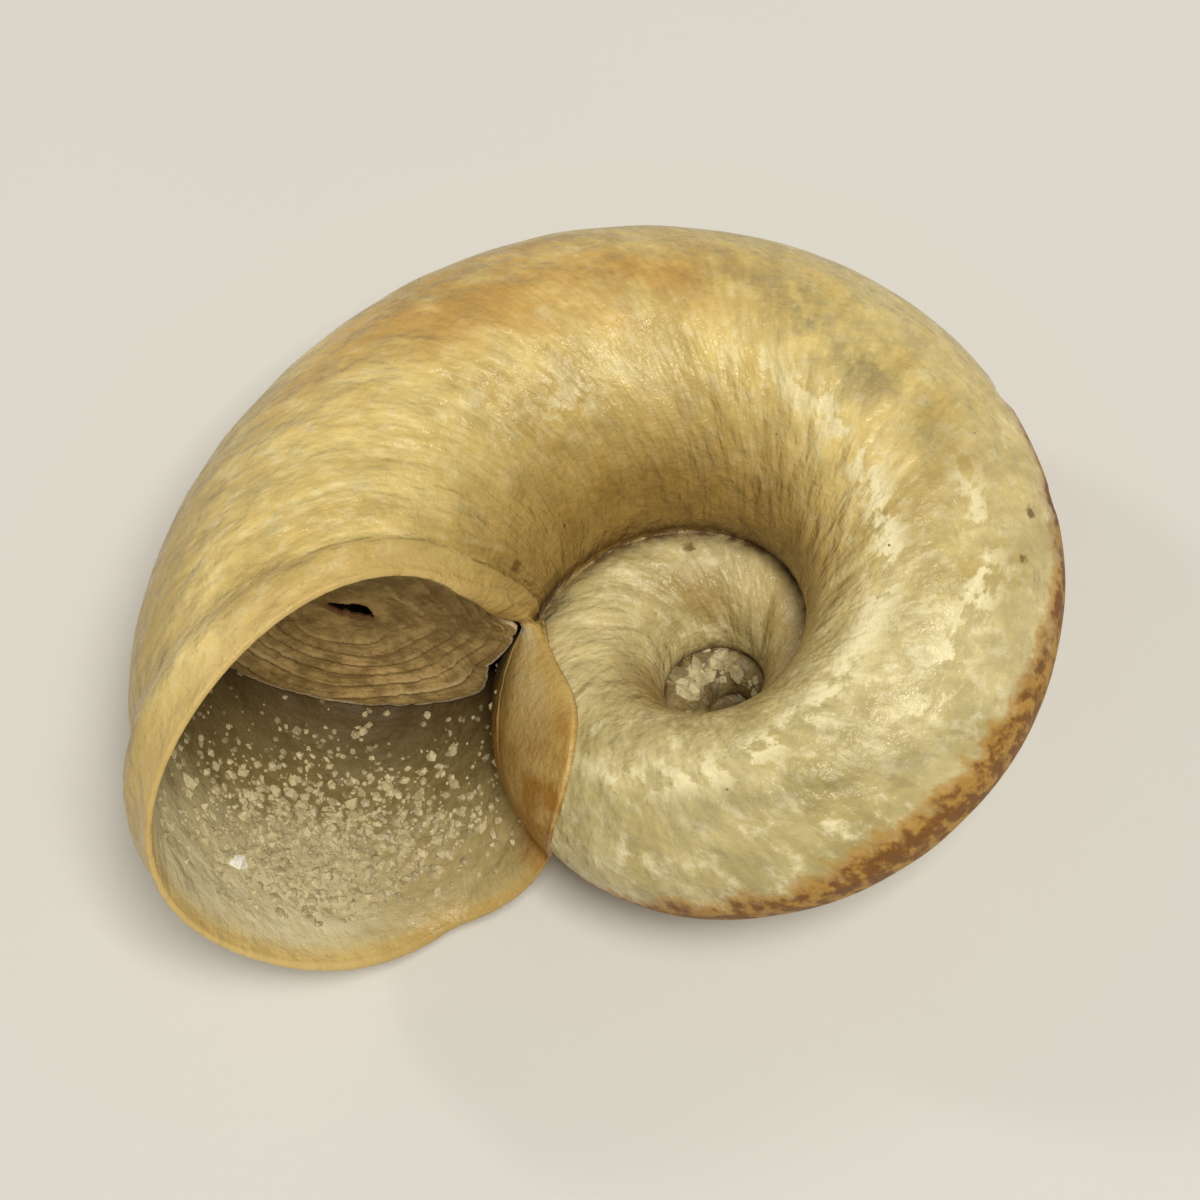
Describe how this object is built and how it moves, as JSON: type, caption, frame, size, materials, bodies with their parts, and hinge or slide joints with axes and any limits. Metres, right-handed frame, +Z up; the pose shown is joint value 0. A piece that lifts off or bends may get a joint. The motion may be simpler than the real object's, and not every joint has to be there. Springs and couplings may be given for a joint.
{
  "type": "land snail shell with operculum",
  "caption": "Low, wide coiled land snail shell with an open umbilicus and a round mouth, its dished operculum drawn a little way inside.",
  "frame": {"origin": "middle of the bounding box at the surface the shell lies on", "axes": "+Z up with the umbilicus facing up, +X along the longest extent, the mouth towards -X and -Y"},
  "size_m": [0.022, 0.0192, 0.0107],
  "materials": {
    "shell": "satin calcium carbonate, cream to tan, with brown skin left on the rim of the whorl",
    "operculum": "dull brown horn in overlapping growth turns"
  },
  "bodies": {
    "root": {"shell": "shell", "operculum": "operculum"}
  },
  "joints": []
}
